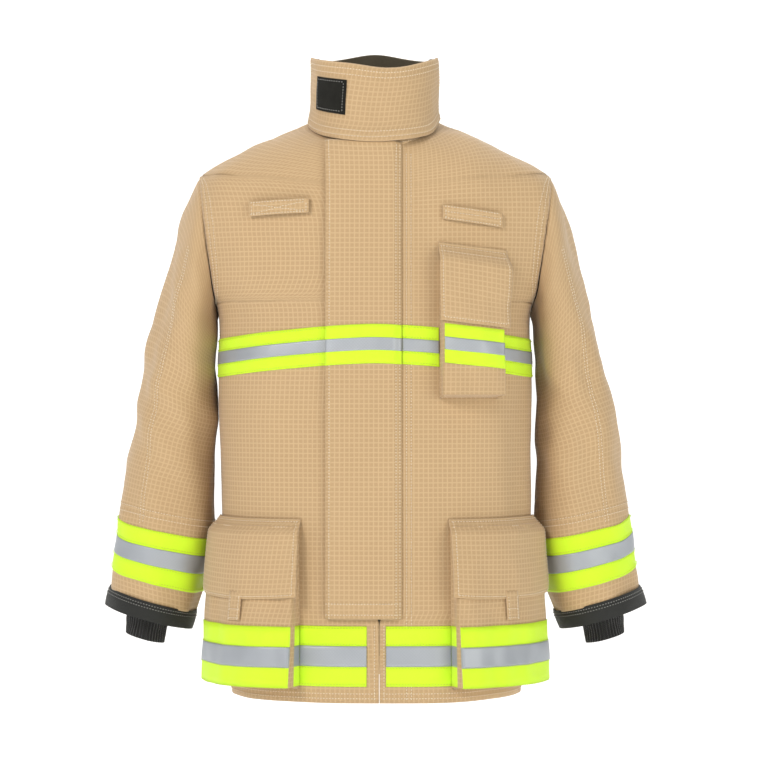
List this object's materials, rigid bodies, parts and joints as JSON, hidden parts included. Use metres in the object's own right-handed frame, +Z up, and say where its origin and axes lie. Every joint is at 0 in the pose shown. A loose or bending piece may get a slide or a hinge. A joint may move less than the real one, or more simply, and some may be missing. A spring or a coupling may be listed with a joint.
{
  "type": "turnout coat",
  "caption": "Firefighter's protective coat with storm flap over a zip, stand collar, bellows pockets, reflective trim and knit wristlets.",
  "frame": {"origin": "centre of the hanger loop's opening, inside the back of the collar", "axes": "+Z up, front towards -Y, the wearer's right towards -X"},
  "size_m": [0.7234, 0.3212, 0.848],
  "materials": {
    "shell_fabric": "matte ripstop weave",
    "thermal_liner": "quilted matte",
    "moisture_barrier": "smooth film",
    "reflective_trim": "fluorescent with silver stripe",
    "cuff_fabric": "coated matte",
    "knit": "ribbed knit",
    "hook_and_loop": "brushed pile",
    "zip": "satin"
  },
  "bodies": {
    "torso": {"front_right_shell": "shell_fabric", "front_left_shell": "shell_fabric", "back_shell": "shell_fabric", "mic_tab": "shell_fabric", "mic_loop": "shell_fabric", "radio_pocket_body": "shell_fabric", "collar_band": "shell_fabric", "right_pocket_body": "shell_fabric", "left_pocket_body": "shell_fabric", "thermal_liner": "thermal_liner", "collar_lining": "thermal_liner", "hanger_loop": "thermal_liner", "moisture_barrier": "moisture_barrier", "chest_trim_right": "reflective_trim", "chest_trim_left_inner": "reflective_trim", "chest_trim_left_outer": "reflective_trim", "chest_trim_back": "reflective_trim", "chest_trim_radio_pocket": "reflective_trim", "hem_trim_back": "reflective_trim", "hem_trim_right": "reflective_trim", "hem_trim_left": "reflective_trim", "hem_trim_right_pocket": "reflective_trim", "hem_trim_left_pocket": "reflective_trim", "front_loop_strip": "hook_and_loop", "zip_tape_right": "zip", "zip_tape_left": "zip", "zip_teeth": "zip"},
    "storm_flap_body": {"storm_flap": "shell_fabric", "storm_flap_hook_strip": "hook_and_loop", "chest_trim_flap": "reflective_trim"},
    "collar_flap_body": {"collar_flap": "shell_fabric", "collar_patch": "hook_and_loop"},
    "radio_flap_body": {"radio_pocket_flap": "shell_fabric"},
    "right_flap_body": {"right_pocket_flap": "shell_fabric", "right_pocket_pull_tab": "shell_fabric"},
    "left_flap_body": {"left_pocket_flap": "shell_fabric", "left_pocket_pull_tab": "shell_fabric"},
    "slider_body": {"zip_slider": "zip"},
    "pull_body": {"zip_pull": "zip"},
    "right_sleeve_body": {"right_sleeve_shell": "shell_fabric", "right_sleeve_liner": "thermal_liner", "right_sleeve_trim": "reflective_trim", "right_cuff": "cuff_fabric", "right_wristlet": "knit"},
    "left_sleeve_body": {"left_sleeve_shell": "shell_fabric", "left_sleeve_liner": "thermal_liner", "left_sleeve_trim": "reflective_trim", "left_cuff": "cuff_fabric", "left_wristlet": "knit"}
  },
  "joints": [
    {"name": "storm_flap_hinge", "type": "hinge", "parent": "torso", "child": "storm_flap_body", "pos_m": [0.0353, -0.1871, -0.38], "axis": [0, 0.0393, 0.9992], "range_deg": [0, 130]},
    {"name": "collar_flap_hinge", "type": "hinge", "parent": "torso", "child": "collar_flap_body", "pos_m": [0.0832, -0.0905, 0], "axis": [0, 0, 1], "range_deg": [0, 95]},
    {"name": "radio_flap_hinge", "type": "hinge", "parent": "torso", "child": "radio_flap_body", "pos_m": [0.12684, -0.16326, -0.1936], "axis": [-0.9418, -0.3361, 0], "range_deg": [0, 60]},
    {"name": "right_pocket_flap_hinge", "type": "hinge", "parent": "torso", "child": "right_flap_body", "pos_m": [-0.1705, -0.162, -0.5478], "axis": [-0.7071, 0.7071, 0], "range_deg": [0, 100]},
    {"name": "left_pocket_flap_hinge", "type": "hinge", "parent": "torso", "child": "left_flap_body", "pos_m": [0.1705, -0.162, -0.5478], "axis": [-0.7071, -0.7071, 0], "range_deg": [0, 100]},
    {"name": "zip_slide", "type": "slide", "parent": "torso", "child": "slider_body", "axis": [0, 0.0393, 0.9992], "range_m": [-0.53, 0]},
    {"name": "zip_pull_swing", "type": "hinge", "parent": "slider_body", "child": "pull_body", "pos_m": [0.006, -0.1715, -0.1], "axis": [0, -1, 0], "range_deg": [-20, 20]},
    {"name": "right_sleeve_lift", "type": "hinge", "parent": "torso", "child": "right_sleeve_body", "pos_m": [-0.231, -0.0455, -0.103], "axis": [0, 1, 0], "range_deg": [0, 60]},
    {"name": "left_sleeve_lift", "type": "hinge", "parent": "torso", "child": "left_sleeve_body", "pos_m": [0.231, -0.0455, -0.103], "axis": [0, -1, 0], "range_deg": [0, 60]}
  ]
}
